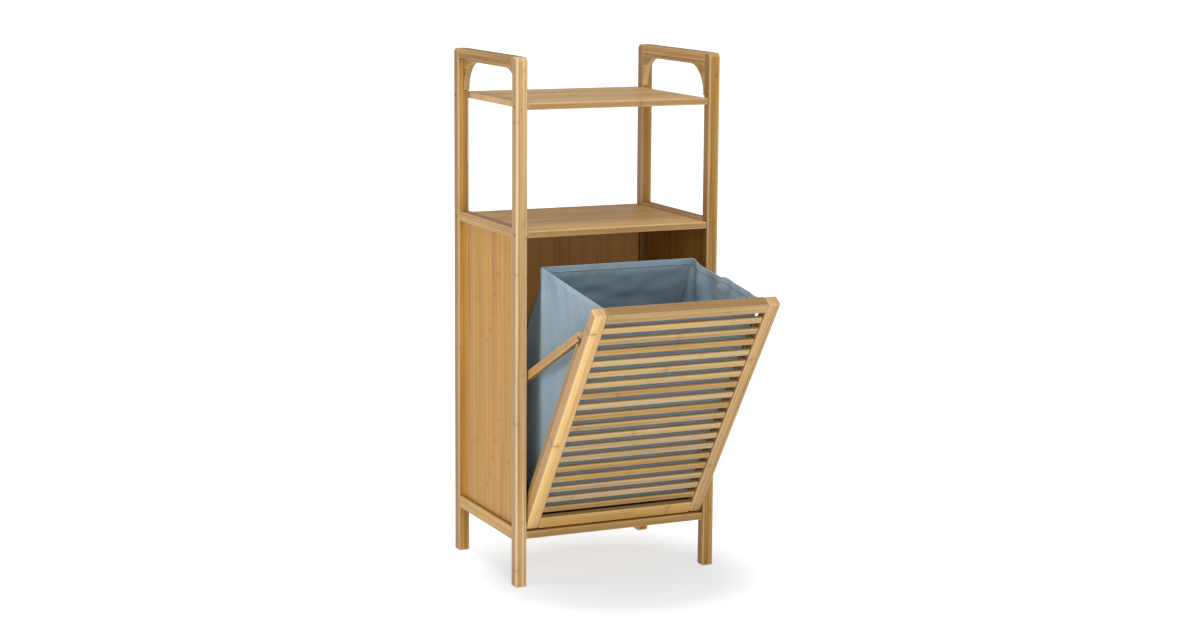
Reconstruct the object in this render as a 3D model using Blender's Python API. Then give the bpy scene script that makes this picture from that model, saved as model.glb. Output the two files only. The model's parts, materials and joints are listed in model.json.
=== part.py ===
"""Free-standing bamboo shelf cabinet with a slatted tilt-out door that carries a fabric laundry bag.

Metres, +Z up, +X to the right of someone facing the door, -Y towards them. The door stands open on its
stop. The origin is on the floor, under the middle of the cabinet and the open door together.
"""

import math

import bmesh
import bpy
from mathutils import Vector

# Driving dimensions
WIDTH = 0.400
DEPTH = 0.300
HEIGHT = 0.955
POST = 0.022
GAP = 0.0003
OPEN_ANGLE = math.radians(34)

# Side frames
TOP_CORNER_RADIUS = 0.009
RAIL_INSET = 0.0015
HANDLE_HEIGHT = 0.017
ARCH_THICKNESS = 0.011
ARCH_CROWN = 0.932
ARCH_FOOT = 0.8775
ARCH_LEG = 0.0025
ARCH_CORNER_Y = 0.052
UPPER_RAIL_BOTTOM = 0.635
UPPER_RAIL_HEIGHT = 0.018
LOWER_RAIL_BOTTOM = 0.085
LOWER_RAIL_HEIGHT = 0.024
PANEL_THICKNESS = 0.005
PANEL_INSET = 0.0085

# Boards
BOARD_INSET = 0.002
BOARD_THICKNESS = 0.012
UPPER_SHELF_BOTTOM = 0.862
MIDDLE_SHELF_BOTTOM = 0.636
FLOOR_BOTTOM = 0.0885
FLOOR_THICKNESS = 0.0135
BACK_THICKNESS = 0.004
BACK_INSET = 0.010

# Door, measured along its height from the hinge line and backwards from its middle plane
HINGE_HEIGHT = 0.118
DOOR_THICKNESS = 0.022
DOOR_SIDE_CLEARANCE = 0.0015
DOOR_TOP = 0.517
DOOR_BOTTOM = -0.010
STILE_WIDTH = 0.024
DOOR_RAIL_HEIGHT = 0.0195
BOTTOM_RAIL_HEIGHT = 0.0272
BOTTOM_RAIL_THICKNESS = 0.010
SLAT_COUNT = 18
SLOT_HEIGHT = 0.0125
SLAT_THICKNESS = 0.0075
SLAT_INSET = 0.002

# Battens glued behind the stiles, each notched near its top for the stay
BATTEN_DEPTH = 0.0125
BATTEN_INSET = 0.001
BATTEN_LOW = 0.010
BATTEN_HIGH = 0.452
NOTCH_LOW = 0.4245

# Stays: an arm on each side of the door, whose peg catches behind the front post
ARM_SLOPE = math.radians(26.2)
ARM_START_BACK = 0.0237
ARM_START_UP = 0.440
ARM_RADIUS = 0.0075
ARM_THICKNESS = 0.012
PEG_RADIUS = 0.004
PEG_OUT = 0.009
PEG_GAP = 0.0005

# Round fittings
HINGE_PIN_RADIUS = 0.003
HINGE_PIN_REACH = 0.012
BOLT_SHANK = 0.0022
BOLT_HEAD = 0.0032
BOLT_HEAD_LENGTH = 0.003
BOLT_SINK = 0.002
BOLT_REACH = 0.026
BOLT_FROM_EDGE = 0.009
STAY_SHANK = 0.0020
STAY_HEAD = 0.0035
STAY_BOLT_FORWARD = 0.004
STAY_END_WOOD = 0.004
STAY_HEAD_LENGTH = 0.002
FIT = 0.0003
ROUND_SIDES = 16

# Laundry bag
BAG_HALF_WIDTH = 0.152
BAG_WALL = 0.003
BAG_FRONT = 0.0125
BAG_BACK = 0.2515
BAG_FLOOR = 0.003
BAG_FRONT_RIM = 0.512
BAG_BACK_RIM = 0.392

# Edge rounding
POST_EDGE = 0.0025
BOARD_EDGE = 0.002
SLAT_EDGE = 0.0025
BATTEN_EDGE = 0.0015

# Worked out from the driving dimensions
HALF_WIDTH = WIDTH / 2
INNER = HALF_WIDTH - POST
HINGE_FROM_FRONT = BOARD_INSET + DOOR_THICKNESS / 2
DOOR_HALF = INNER - DOOR_SIDE_CLEARANCE
SLAT_PITCH = (DOOR_TOP - DOOR_RAIL_HEIGHT - DOOR_BOTTOM - BOTTOM_RAIL_HEIGHT - SLOT_HEIGHT) / SLAT_COUNT
SLAT_HEIGHT = SLAT_PITCH - SLOT_HEIGHT


def middle_of_open_depth():
    """How far the cabinet stands behind the origin, which is under the middle of cabinet and open door."""
    up = DOOR_TOP - POST_EDGE
    back = POST_EDGE - DOOR_THICKNESS / 2
    reach = up * math.sin(OPEN_ANGLE) - back * math.cos(OPEN_ANGLE) + POST_EDGE - HINGE_FROM_FRONT
    return reach / 2


CABINET_Y = middle_of_open_depth()
FRONT = CABINET_Y - DEPTH / 2
BACK = CABINET_Y + DEPTH / 2
HINGE_Y = FRONT + HINGE_FROM_FRONT


def clear_scene():
    for item in list(bpy.data.objects):
        bpy.data.objects.remove(item, do_unlink=True)


def make_material(name, color, roughness, metallic=0.0):
    material = bpy.data.materials.new(name)
    material.use_nodes = True
    shader = material.node_tree.nodes["Principled BSDF"]
    shader.inputs["Base Color"].default_value = (*color, 1.0)
    shader.inputs["Roughness"].default_value = roughness
    shader.inputs["Metallic"].default_value = metallic
    return material


def add_object(name, shape, material, location=(0, 0, 0), parent=None):
    """Turns a bmesh into a named object, with its faces pointing out."""
    bmesh.ops.recalc_face_normals(shape, faces=shape.faces[:])
    mesh = bpy.data.meshes.new(name)
    shape.to_mesh(mesh)
    shape.free()
    item = bpy.data.objects.new(name, mesh)
    bpy.context.scene.collection.objects.link(item)
    item.location = location
    item.parent = parent
    if material is not None:
        mesh.materials.append(material)
    return item


def round_edges(item, width, segments=1):
    bevel = item.modifiers.new("Rounded edges", "BEVEL")
    bevel.width = width
    bevel.segments = segments
    bevel.limit_method = "ANGLE"
    bevel.angle_limit = math.radians(40)
    return item


def cut(item, cutter):
    """Takes the cutter's shape away. The cutter stays in the scene as a guide."""
    cutter.hide_render = True
    cutter.display_type = "WIRE"
    boolean = item.modifiers.new("Cut " + cutter.name, "BOOLEAN")
    boolean.operation = "DIFFERENCE"
    boolean.solver = "EXACT"
    boolean.object = cutter


def block(name, low, high, material, edge=0.0, segments=1, parent=None):
    """A box between two corners, with its origin in its middle."""
    low, high = Vector(low), Vector(high)
    middle, size = (low + high) / 2, high - low
    shape = bmesh.new()
    bmesh.ops.create_cube(shape, size=1.0)
    bmesh.ops.scale(shape, vec=size, verts=shape.verts)
    item = add_object(name, shape, material, middle, parent)
    if edge:
        round_edges(item, edge, segments)
    return item


def plate(name, outline, x_low, x_high, material, origin, parent=None):
    """An outline of (y, z) points, drawn around origin, made thick along X."""
    shape = bmesh.new()
    corners = [shape.verts.new((x_low - origin[0], y, z)) for y, z in outline]
    face = shape.faces.new(corners)
    grown = bmesh.ops.extrude_face_region(shape, geom=[face])["geom"]
    moved = [v for v in grown if isinstance(v, bmesh.types.BMVert)]
    bmesh.ops.translate(shape, vec=(x_high - x_low, 0, 0), verts=moved)
    return add_object(name, shape, material, origin, parent)


def arc(center, radius_y, radius_z, start, end, steps):
    """Points on a stretch of an ellipse, in the plane of Y and Z, with angles in degrees."""
    angles = [math.radians(start + (end - start) * i / steps) for i in range(steps + 1)]
    return [(center[0] + radius_y * math.cos(a), center[1] + radius_z * math.sin(a)) for a in angles]


def turned(name, profile, material, center, direction=1, parent=None, sides=ROUND_SIDES):
    """A solid turned about the X direction from (distance along X, radius) points, both ends on the axis."""
    shape = bmesh.new()
    rings = []
    for along, radius in profile:
        ring = []
        for i in range(sides):
            angle = 2 * math.pi * i / sides
            point = (direction * along, radius * math.cos(angle), radius * math.sin(angle))
            ring.append(shape.verts.new(point))
        rings.append(ring)
    for one, two in zip(rings, rings[1:]):
        for i in range(sides):
            j = (i + 1) % sides
            shape.faces.new((one[i], one[j], two[j], two[i]))
    shape.faces.new(rings[0])
    shape.faces.new(rings[-1])
    item = add_object(name, shape, material, center, parent)
    item.data.shade_smooth()
    item.data.set_sharp_from_angle(angle=math.radians(40))
    return item


def rod(name, length, radius, material, center, direction=1, parent=None):
    return turned(name, [(0, radius), (length, radius)], material, center, direction, parent)


def sides():
    """Each side's name and its sign along X."""
    return (("left", -1), ("right", 1))


def span(sign, near, far):
    """The low and high X of something that lies between two distances from the middle, on one side."""
    return (near, far) if sign > 0 else (-far, -near)


def make_post(name, sign, at_front, material):
    """An upright whose outer top corner is rounded in side view. Its origin is at its foot."""
    face = -POST / 2 if at_front else POST / 2
    toward = 1 if at_front else -1
    corner = (face + toward * TOP_CORNER_RADIUS, HEIGHT - TOP_CORNER_RADIUS)
    start, end = (180, 90) if at_front else (0, 90)
    outline = [(face, 0)]
    outline += arc(corner, TOP_CORNER_RADIUS, TOP_CORNER_RADIUS, start, end, 5)
    outline += [(-face, HEIGHT), (-face, 0)]
    x_low, x_high = span(sign, INNER, HALF_WIDTH)
    y = FRONT + POST / 2 if at_front else BACK - POST / 2
    post = plate(name, outline, x_low, x_high, material, ((x_low + x_high) / 2, y, 0))
    return round_edges(post, POST_EDGE, 2)


def make_arch(name, sign, material):
    """The thin board under a handle rail, whose opening has a straight crown and elliptical corners."""
    half = DEPTH / 2 - POST - GAP
    top = HEIGHT - HANDLE_HEIGHT - GAP
    opening = half - ARCH_LEG
    rise = ARCH_CROWN - ARCH_FOOT
    outline = [(half, ARCH_FOOT), (half, top), (-half, top), (-half, ARCH_FOOT)]
    outline += arc((-opening + ARCH_CORNER_Y, ARCH_FOOT), ARCH_CORNER_Y, rise, 180, 90, 10)
    outline += arc((opening - ARCH_CORNER_Y, ARCH_FOOT), ARCH_CORNER_Y, rise, 90, 0, 10)
    x_low, x_high = span(sign, INNER, INNER + ARCH_THICKNESS)
    return plate(name, outline, x_low, x_high, material, ((x_low + x_high) / 2, CABINET_Y, 0))


def make_side_frame(side, sign, bamboo):
    """Two posts, the handle rail and its arch board, two side rails and the side panel."""
    front_post = make_post("front_post_" + side, sign, True, bamboo)
    rear_post = make_post("rear_post_" + side, sign, False, bamboo)
    half = DEPTH / 2 - POST - GAP
    low_y, high_y = CABINET_Y - half, CABINET_Y + half
    x_low, x_high = span(sign, INNER, HALF_WIDTH)
    handle_low = HEIGHT - HANDLE_HEIGHT
    block("handle_rail_" + side, (x_low, low_y, handle_low), (x_high, high_y, HEIGHT), bamboo, BOARD_EDGE, 2)
    make_arch("handle_arch_" + side, sign, bamboo)
    x_low, x_high = span(sign, INNER, HALF_WIDTH - RAIL_INSET)
    upper_top = UPPER_RAIL_BOTTOM + UPPER_RAIL_HEIGHT
    lower_top = LOWER_RAIL_BOTTOM + LOWER_RAIL_HEIGHT
    block("upper_side_rail_" + side, (x_low, low_y, UPPER_RAIL_BOTTOM), (x_high, high_y, upper_top), bamboo,
          BOARD_EDGE, 2)
    block("lower_side_rail_" + side, (x_low, low_y, LOWER_RAIL_BOTTOM), (x_high, high_y, lower_top), bamboo,
          BOARD_EDGE, 2)
    outer = HALF_WIDTH - PANEL_INSET
    x_low, x_high = span(sign, outer - PANEL_THICKNESS, outer)
    block("side_panel_" + side, (x_low, low_y, lower_top + GAP), (x_high, high_y, UPPER_RAIL_BOTTOM - GAP), bamboo)
    return front_post, rear_post


def make_boards(bamboo):
    """Upper shelf, middle shelf, floor board and back panel, all between the posts."""
    half = INNER - GAP
    low_y, high_y = FRONT + BOARD_INSET, BACK - BOARD_INSET
    boards = []
    for name, bottom, thickness in (
        ("upper_shelf", UPPER_SHELF_BOTTOM, BOARD_THICKNESS),
        ("middle_shelf", MIDDLE_SHELF_BOTTOM, BOARD_THICKNESS),
        ("floor_board", FLOOR_BOTTOM, FLOOR_THICKNESS),
    ):
        low, high = (-half, low_y, bottom), (half, high_y, bottom + thickness)
        boards.append(block(name, low, high, bamboo, BOARD_EDGE, 2))
    y = BACK - BACK_INSET
    back_low = FLOOR_BOTTOM + FLOOR_THICKNESS + GAP
    block("back_panel", (-half, y - BACK_THICKNESS, back_low), (half, y, MIDDLE_SHELF_BOTTOM - GAP), bamboo)
    return boards[0], boards[1]


def make_shelf_bolt(name, x_sign, y, z, post, shelf, steel):
    """A bolt sunk in the post's outer face, through the post and into the end of the shelf."""
    inward = -x_sign
    start = (x_sign * (HALF_WIDTH - BOLT_SINK), y, z)
    shoulder = BOLT_HEAD_LENGTH
    head_end = shoulder + FIT
    reach = POST - BOLT_SINK + BOLT_REACH
    profile = [(0, BOLT_HEAD), (shoulder, BOLT_HEAD), (shoulder, BOLT_SHANK), (reach, BOLT_SHANK)]
    turned(name, profile, steel, start, inward)
    hole = [(-2 * BOLT_SINK, BOLT_HEAD + FIT), (head_end, BOLT_HEAD + FIT), (head_end, BOLT_SHANK + FIT),
            (reach + FIT, BOLT_SHANK + FIT)]
    cutter = turned(name + "_hole", hole, None, start, inward)
    cut(post, cutter)
    cut(shelf, cutter)


def make_hinge_pin(side, sign, post, stile, steel):
    """The door turns on a short pin held half in the post and half in the stile."""
    start = sign * (INNER - DOOR_SIDE_CLEARANCE - HINGE_PIN_REACH)
    length = 2 * HINGE_PIN_REACH + DOOR_SIDE_CLEARANCE
    rod("hinge_pin_" + side, length, HINGE_PIN_RADIUS, steel, (start, HINGE_Y, HINGE_HEIGHT), sign)
    hole_start = (start - sign * FIT, HINGE_Y, HINGE_HEIGHT)
    cutter = rod("hinge_hole_" + side, length + 2 * FIT, HINGE_PIN_RADIUS + FIT, None, hole_start, sign)
    cut(post, cutter)
    cut(stile, cutter)


def make_door_frame(hinge, bamboo):
    """Two stiles, two rails and the slats, placed from the hinge line on the closed door."""
    front, back = -DOOR_THICKNESS / 2, DOOR_THICKNESS / 2
    stiles = []
    for side, sign in sides():
        x_low, x_high = span(sign, DOOR_HALF - STILE_WIDTH, DOOR_HALF)
        low, high = (x_low, front, DOOR_BOTTOM), (x_high, back, DOOR_TOP)
        stiles.append(block("door_stile_" + side, low, high, bamboo, POST_EDGE, 2, hinge))
    half = DOOR_HALF - STILE_WIDTH - GAP
    block("door_top_rail", (-half, front, DOOR_TOP - DOOR_RAIL_HEIGHT), (half, back, DOOR_TOP), bamboo,
          BOARD_EDGE, 2, hinge)
    slot_low = DOOR_BOTTOM + BOTTOM_RAIL_HEIGHT
    block("door_bottom_rail", (-half, front, DOOR_BOTTOM), (half, front + BOTTOM_RAIL_THICKNESS, slot_low), bamboo,
          BOARD_EDGE, 2, hinge)
    slat_front = front + SLAT_INSET
    for i in range(SLAT_COUNT):
        low = slot_low + SLOT_HEIGHT + i * SLAT_PITCH
        block(f"door_slat_{i + 1:02d}", (-half, slat_front, low),
              (half, slat_front + SLAT_THICKNESS, low + SLAT_HEIGHT), bamboo, SLAT_EDGE, 2, hinge)
    return stiles


def arm_length():
    """From the arm's bolt to its peg, which meets the back of the front post when the door is open."""
    start_y = ARM_START_BACK * math.cos(OPEN_ANGLE) - ARM_START_UP * math.sin(OPEN_ANGLE)
    peg_y = FRONT + POST + PEG_GAP + PEG_RADIUS - HINGE_Y
    return (peg_y - start_y) / math.cos(ARM_SLOPE)


def make_stay(side, sign, hinge, bamboo, steel):
    """An arm bolted into the notch of the batten behind the stile, with a peg at its far end."""
    tilt = ARM_SLOPE + OPEN_ANGLE
    length = arm_length()
    start = (ARM_START_BACK, ARM_START_UP)
    shift = (length * math.cos(tilt), -length * math.sin(tilt))
    end = (start[0] + shift[0], start[1] + shift[1])
    slope = math.degrees(tilt)
    outline = arc((0, 0), ARM_RADIUS, ARM_RADIUS, 90 - slope, 270 - slope, 8)
    outline += arc(shift, ARM_RADIUS, ARM_RADIUS, 270 - slope, 450 - slope, 8)
    outer = DOOR_HALF
    inner = outer - ARM_THICKNESS
    x_low, x_high = span(sign, inner, outer)
    arm = plate("stay_arm_" + side, outline, x_low, x_high, bamboo, (sign * outer, *start), hinge)

    rod("stay_peg_" + side, ARM_THICKNESS + PEG_OUT, PEG_RADIUS, bamboo, (sign * inner, *end), sign, hinge)
    hole_start = (sign * (inner - ARM_THICKNESS / 2), *end)
    cut(arm, rod("stay_peg_hole_" + side, 2 * ARM_THICKNESS, PEG_RADIUS + FIT, None, hole_start, sign, hinge))

    front = DOOR_THICKNESS / 2 + GAP
    back = front + BATTEN_DEPTH
    x_low, x_high = span(sign, DOOR_HALF - STILE_WIDTH, outer - BATTEN_INSET)
    batten = block("door_batten_" + side, (x_low, front, BATTEN_LOW), (x_high, back, BATTEN_HIGH), bamboo,
                   BATTEN_EDGE, 1, hinge)
    x_low, x_high = span(sign, inner - GAP, outer + GAP)
    notch = block("stay_notch_" + side, (x_low, -back, NOTCH_LOW), (x_high, 2 * back, 2 * BATTEN_HIGH), None,
                  parent=hinge)
    cut(batten, notch)

    reach = STILE_WIDTH - STAY_END_WOOD
    head = (sign * outer, start[0] - STAY_BOLT_FORWARD, start[1])
    profile = [(0, STAY_HEAD), (STAY_HEAD_LENGTH, STAY_HEAD), (STAY_HEAD_LENGTH, STAY_SHANK), (reach, STAY_SHANK)]
    turned("stay_bolt_" + side, profile, steel, head, -sign, hinge)
    seat = STAY_HEAD_LENGTH + FIT
    hole = [(-STAY_HEAD_LENGTH, STAY_HEAD + FIT), (seat, STAY_HEAD + FIT), (seat, STAY_SHANK + FIT),
            (reach + FIT, STAY_SHANK + FIT)]
    cutter = turned("stay_bolt_hole_" + side, hole, None, head, -sign, hinge)
    cut(arm, cutter)
    cut(batten, cutter)


def bag_ring(shape, half_width, front, back, front_z, back_z):
    """Four corners of a level or sloping cut through the bag, front left first."""
    corners = ((-half_width, front, front_z), (half_width, front, front_z),
               (half_width, back, back_z), (-half_width, back, back_z))
    return [shape.verts.new(c) for c in corners]


def bridge(shape, one, two):
    for i in range(len(one)):
        j = (i + 1) % len(one)
        shape.faces.new((one[i], one[j], two[j], two[i]))


def make_bag(hinge, fabric):
    """An open bag whose rim falls from the top of the door to its lower back wall."""
    shape = bmesh.new()
    inner_half = BAG_HALF_WIDTH - BAG_WALL
    inner_front, inner_back = BAG_FRONT + BAG_WALL, BAG_BACK - BAG_WALL
    floor = BAG_FLOOR + BAG_WALL
    outside_low = bag_ring(shape, BAG_HALF_WIDTH, BAG_FRONT, BAG_BACK, BAG_FLOOR, BAG_FLOOR)
    outside_rim = bag_ring(shape, BAG_HALF_WIDTH, BAG_FRONT, BAG_BACK, BAG_FRONT_RIM, BAG_BACK_RIM)
    inside_rim = bag_ring(shape, inner_half, inner_front, inner_back, BAG_FRONT_RIM, BAG_BACK_RIM)
    inside_low = bag_ring(shape, inner_half, inner_front, inner_back, floor, floor)
    bridge(shape, outside_low, outside_rim)
    bridge(shape, outside_rim, inside_rim)
    bridge(shape, inside_rim, inside_low)
    shape.faces.new(outside_low)
    shape.faces.new(inside_low)
    add_object("laundry_bag", shape, fabric, (0, 0, 0), hinge)


def main():
    clear_scene()
    bamboo = make_material("bamboo", (0.55, 0.34, 0.14), 0.45)
    fabric = make_material("bag_fabric", (0.24, 0.32, 0.36), 0.90)
    steel = make_material("zinc_steel", (0.45, 0.43, 0.38), 0.35, 0.9)

    hinge = bpy.data.objects.new("door_hinge", None)
    bpy.context.scene.collection.objects.link(hinge)
    hinge.location = (0, HINGE_Y, HINGE_HEIGHT)
    hinge.rotation_euler = (OPEN_ANGLE, 0, 0)

    stiles = make_door_frame(hinge, bamboo)
    upper_shelf, middle_shelf = make_boards(bamboo)
    for (side, sign), stile in zip(sides(), stiles):
        front_post, rear_post = make_side_frame(side, sign, bamboo)
        make_hinge_pin(side, sign, front_post, stile, steel)
        make_stay(side, sign, hinge, bamboo, steel)
        for level, shelf, z in (("upper", upper_shelf, UPPER_SHELF_BOTTOM + BOARD_THICKNESS / 2),
                                ("middle", middle_shelf, MIDDLE_SHELF_BOTTOM + BOARD_THICKNESS / 2)):
            for place, post, y in (("front", front_post, FRONT + BOLT_FROM_EDGE),
                                   ("rear", rear_post, BACK - BOLT_FROM_EDGE)):
                make_shelf_bolt(f"{level}_shelf_bolt_{place}_{side}", sign, y, z, post, shelf, steel)
    make_bag(hinge, fabric)
    bpy.context.view_layer.update()


main()
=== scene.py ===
# A bamboo shelf cabinet with a tilt-out laundry door: the looks of its wood, steel and cloth.
# Lengths are in metres. The door and the bag are shaped in the hinge frame, where X is the width,
# Y runs back from the hinge line and Z runs up the closed door.

import json
import math
import random

import bmesh
import bpy
import numpy as np
from mathutils import Matrix, Vector, noise
from mathutils.bvhtree import BVHTree

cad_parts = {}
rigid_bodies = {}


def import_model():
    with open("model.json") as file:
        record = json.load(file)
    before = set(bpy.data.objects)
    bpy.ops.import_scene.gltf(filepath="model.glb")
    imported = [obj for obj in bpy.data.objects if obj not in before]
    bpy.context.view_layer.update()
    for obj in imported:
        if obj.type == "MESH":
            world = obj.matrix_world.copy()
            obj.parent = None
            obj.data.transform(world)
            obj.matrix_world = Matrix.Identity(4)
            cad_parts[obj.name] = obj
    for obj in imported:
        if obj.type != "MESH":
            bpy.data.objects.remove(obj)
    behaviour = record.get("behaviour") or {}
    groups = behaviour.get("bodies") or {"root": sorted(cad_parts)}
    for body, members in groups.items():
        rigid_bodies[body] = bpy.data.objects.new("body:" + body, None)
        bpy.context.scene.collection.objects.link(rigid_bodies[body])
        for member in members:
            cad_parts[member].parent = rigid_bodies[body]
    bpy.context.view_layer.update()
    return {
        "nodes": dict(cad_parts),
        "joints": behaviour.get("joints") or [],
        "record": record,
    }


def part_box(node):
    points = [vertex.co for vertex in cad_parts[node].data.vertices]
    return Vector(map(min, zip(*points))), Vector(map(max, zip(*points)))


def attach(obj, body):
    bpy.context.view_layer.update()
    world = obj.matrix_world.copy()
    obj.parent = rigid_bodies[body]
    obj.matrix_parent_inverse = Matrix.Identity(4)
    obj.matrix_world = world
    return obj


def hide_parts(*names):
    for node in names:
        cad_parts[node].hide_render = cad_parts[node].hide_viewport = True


for leftover in list(bpy.data.objects):
    bpy.data.objects.remove(leftover)
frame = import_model()

X, Y, Z = 0, 1, 2
SMOOTH_ANGLE = math.radians(35)
BEVEL_ANGLE = math.radians(40)
SIDES = (("left", -1), ("right", 1))

# Camera
CAMERA_PLACE = (-1.8362, -3.8944, 1.2238)
CAMERA_YAW = 0.4337
CAMERA_DOWN = 0.1697
CAMERA_ROLL = 0.0076
CAMERA_LENS = 72.48
SENSOR_WIDTH = 36

# Light
WORLD_STRENGTH = 0.46
KEY_POWER = 45.0
HIGH_FILL_POWER = 50.0
LOW_FILL_POWER = 36.0
TOP_POWER = 92.0
FLOOR_REACH = 30
FLOOR_COLOR = (0.29, 0.30, 0.31, 1)
# The floor glows though it is no lamp: painted light that keeps it white and lights the piece from below. The
# glow is weaker and cooler near the middle, which paints a grey patch under the cabinet and cancels the warm
# bounce from the wood.
FLOOR_GLOW_NEAR = 0.62
FLOOR_GLOW_FAR = 1.05
FLOOR_GLOW_COLOR = (0.975, 1.000, 1.022)
GLOW_GROWS_FROM = 0.20
GLOW_GROWS_TO = 0.42

# Wood edges and laminations
POST_EDGE = 0.0034
BOARD_EDGE = 0.0020
SLAT_EDGE = 0.0026
BATTEN_EDGE = 0.0015
THIN_EDGE = 0.0008
POST_STRIP = 0.0055
BOARD_STRIP = 0.0190
TOP_CORNER = 0.009
ARCH_LEG = 0.0025
ARCH_CORNER = 0.052
ARCH_CROWN = 0.932
# Where the band of painted shade on a stile's front begins, from its left edge.
STILE_SHADED_BAND = 0.014
ARM_RADIUS = 0.0075
ARM_NOTCH = 0.4245
ARM_EDGE = 0.0014
BOLT_FORWARD = 0.004
BOLT_RECESS = 0.0035
ARM_BOLT_RECESS = 0.0024
PAST_FACE = 0.004
HOLE_GAP = 0.0003
PEG_GAP = 0.0002
PEG_LIP = 0.0008
PIN_LIP = 0.0006
SOCKET_STARTS = 5
FLAT_FACE = 0.995

# Wood colours. A pair is (dark, light).
PALE_WOOD = ((0.260, 0.150, 0.050), (0.660, 0.438, 0.200))
WARM_WOOD = ((0.240, 0.112, 0.018), (0.620, 0.338, 0.066))
SAWN_WOOD = ((0.210, 0.110, 0.045), (0.560, 0.370, 0.180))
KNOT_COLOR = (0.200, 0.095, 0.030)
JOINT_COLOR = (0.200, 0.100, 0.035)
# Rounded edges take a lighter colour: partly wear, partly a painted highlight where the edges catch the
# light.
WEAR_AND_HIGHLIGHT_COLOR = (0.740, 0.540, 0.310)
CANE_NODE_SPACING = 0.27
JOINT_WIDTH = 0.00080

# The tone and warmth of each post. The right and rear posts are set darker partly as painted shade, for the
# light that falls off toward the right and the back.
POST_LOOKS = {("front", "left"): (0.64, 0.12), ("rear", "left"): (0.40, 0.95),
              ("front", "right"): (0.24, 0.90), ("rear", "right"): (0.22, 1.00)}

# What a piece's colour is multiplied by: partly its own tone and partly painted light and shade for how much
# light the piece gets, such as the brighter insides of the back panel and right side panel and the darker
# right front post. A name without its number stands for all that share it.
PIECE_TONE_AND_PAINTED_LIGHT = {
    "side_panel_left": (0.92, 0.85, 0.34),
    "side_panel_right": (1.12, 1.05, 0.85),
    "handle_rail_left": (0.80, 0.76, 0.52),
    "lower_side_rail_left": (0.88, 0.80, 0.52),
    "back_panel": (1.30, 1.14, 1.40),
    "middle_shelf": (1.24, 1.24, 1.10),
    "floor_board": (1.11, 1.06, 0.86),
    "front_post_left": (1.0, 1.0, 1.04),
    "front_post_right": (0.89, 0.88, 0.74),
    "door_top_rail": (0.90, 0.95, 1.00),
    "door_stile_left": (1.08, 1.07, 1.04),
    "door_slat_": (0.86, 0.90, 0.93),
}

# Bag
CLOTH = 0.0012
CLOTH_CELL = 0.0088
HEM = 0.011
HEM_LIFT = 0.0004
STITCH_PITCH = 0.0034
STITCH_LENGTH = 0.0023
STITCH_RADIUS = 0.00025
SAG_LIMIT = 0.010
FRONT_SET_BACK = 0.011
FOLD_DEPTH = 0.0065
SLANT_FOLD_DEPTH = 0.006
CREASE_SLANT = 0.30
CREASE_WIDTH = 0.024
CREASE_DEPTH = 0.011
KINK_SHARE = 0.47
SUNK_DROP, SUNK_LEAN = 0.0042, 0.0030
FRONT_DROP, FRONT_LEAN = 0.0010, 0.0022
DIP_DROP, DIP_LEAN = 0.0014, 0.0022
RIM_CORNER = 0.478
BACK_RIM = 0.392
RIM_ROWS = 4
EDGE_CREASE = 0.8
HANG_FRAMES = 30
CLOTH_SLACK = 0.032
CORNER_REACH = 0.020
CORNER_GIVE = 0.12
BATTEN_DEPTH = 0.016
SIDE_BULGE = 0.006
HEM_TOP = 0.0003
STITCH_ROW = HEM - 0.002
SEAM_WIDTH = 0.007
SEAM_THICK = 0.0013
SEAM_ROOT = 0.0006
SEAM_GAP = 0.0002
SEAM_LIFT = 0.0008
SEAM_ROUND = 0.0004
TOUCH = 1e-5

HINGE = (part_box("hinge_pin_left")[0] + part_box("hinge_pin_left")[1]) / 2
OPEN_ANGLE = math.radians(frame["joints"][0]["range_deg"][1])
CABINET = Matrix.Identity(4)
DOOR = Matrix.Translation((0, HINGE.y, HINGE.z)) @ Matrix.Rotation(OPEN_ANGLE, 4, "X")
NODE_BODY = {n: body for body, nodes in frame["record"]["behaviour"]["bodies"].items() for n in nodes}

chance = random.Random(7)


# Shader building

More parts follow.
